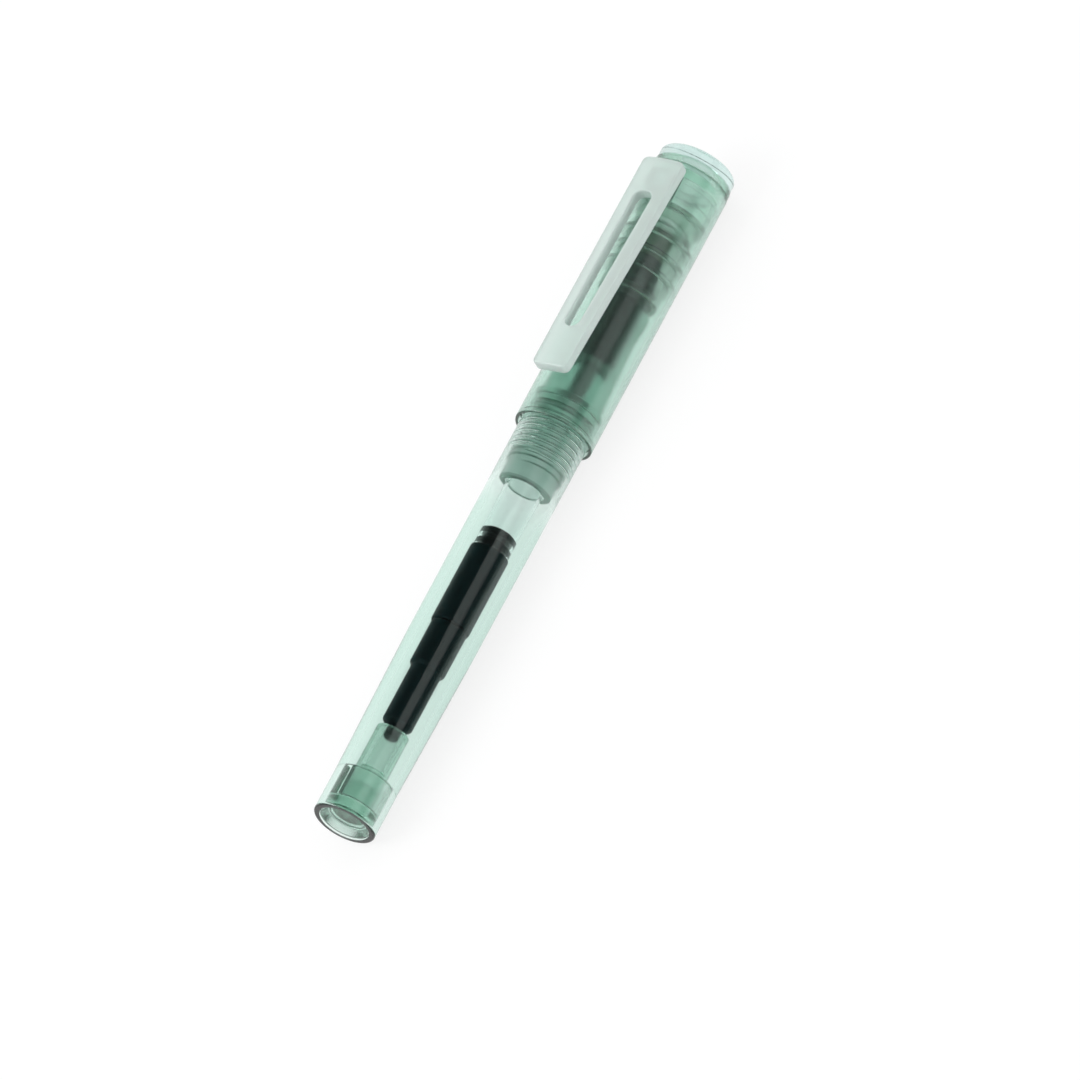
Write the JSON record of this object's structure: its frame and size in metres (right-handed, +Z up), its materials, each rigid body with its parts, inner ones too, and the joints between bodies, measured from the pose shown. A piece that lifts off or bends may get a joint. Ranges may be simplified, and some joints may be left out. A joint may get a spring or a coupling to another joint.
{
  "type": "highlighter",
  "caption": "Refillable highlighter: capped translucent barrel with clip, screw-in grip, chisel felt tip, ink feed and a twist-knob piston converter.",
  "frame": {"origin": "on the surface the pen lies on, below the middle of its length and of its width", "axes": "+X from the tail end to the cap top, +Z up towards the clip, Y across"},
  "size_m": [0.1352, 0.014, 0.0176],
  "materials": {
    "clear_barrel": "clear pale green moulded plastic, lightly frosted",
    "clear_green": "clear green moulded plastic",
    "clear_tube": "clear colourless moulded plastic",
    "frosted_green": "translucent green moulded plastic, satin outside",
    "pale_green": "milky pale green moulded plastic, satin",
    "milky_plastic": "milky translucent plastic",
    "soft_seal": "soft translucent elastomer",
    "dark_plastic": "black-teal moulded plastic, satin",
    "black_rubber": "black rubber, matt",
    "felt": "dense grey-green fibre"
  },
  "bodies": {
    "barrel": {"barrel": "clear_barrel", "tail_plug": "clear_green"},
    "o_ring": {"section_o_ring": "soft_seal"},
    "grip": {"section": "clear_green", "nose_seal": "soft_seal", "tip_holder": "dark_plastic", "felt_tip": "felt", "ink_collector": "dark_plastic", "ink_wick": "felt", "converter_tube": "clear_tube", "converter_collar": "dark_plastic", "rod_guide": "dark_plastic"},
    "knob": {"knob": "dark_plastic"},
    "piston": {"piston_rod": "dark_plastic", "piston_seal": "black_rubber"},
    "cap": {"cap_shell": "frosted_green", "inner_cap": "milky_plastic", "cap_top_plug": "clear_green", "finial_disc": "clear_tube"},
    "clip": {"clip": "pale_green"}
  },
  "joints": [
    {"name": "grip_travel", "type": "slide", "parent": "barrel", "child": "o_ring", "axis": [1, 0, 0], "range_m": [0, 0.0096]},
    {"name": "grip_turn", "type": "hinge", "parent": "o_ring", "child": "grip", "pos_m": [0, 0, 0.007], "axis": [1, 0, 0], "range_deg": [0, 2880]},
    {"name": "knob_turn", "type": "hinge", "parent": "grip", "child": "knob", "pos_m": [-0.03765, 0, 0.007], "axis": [-1, 0, 0], "range_deg": [0, 2340]},
    {"name": "piston_travel", "type": "slide", "parent": "grip", "child": "piston", "axis": [1, 0, 0], "range_m": [0, 0.026]},
    {"name": "cap_pull", "type": "slide", "parent": "grip", "child": "cap", "axis": [1, 0, 0], "range_m": [0, 0.06]},
    {"name": "clip_flex", "type": "hinge", "parent": "cap", "child": "clip", "pos_m": [0.05955, 0, 0.0136], "axis": [0, 1, 0], "range_deg": [0, 2.7], "stiffness_Nm_per_rad": 0.6}
  ],
  "couplings": [
    {"joint": "grip_turn", "follows": "grip_travel", "rad_per_m": 5236},
    {"joint": "knob_turn", "follows": "piston_travel", "rad_per_m": 1570.8}
  ]
}
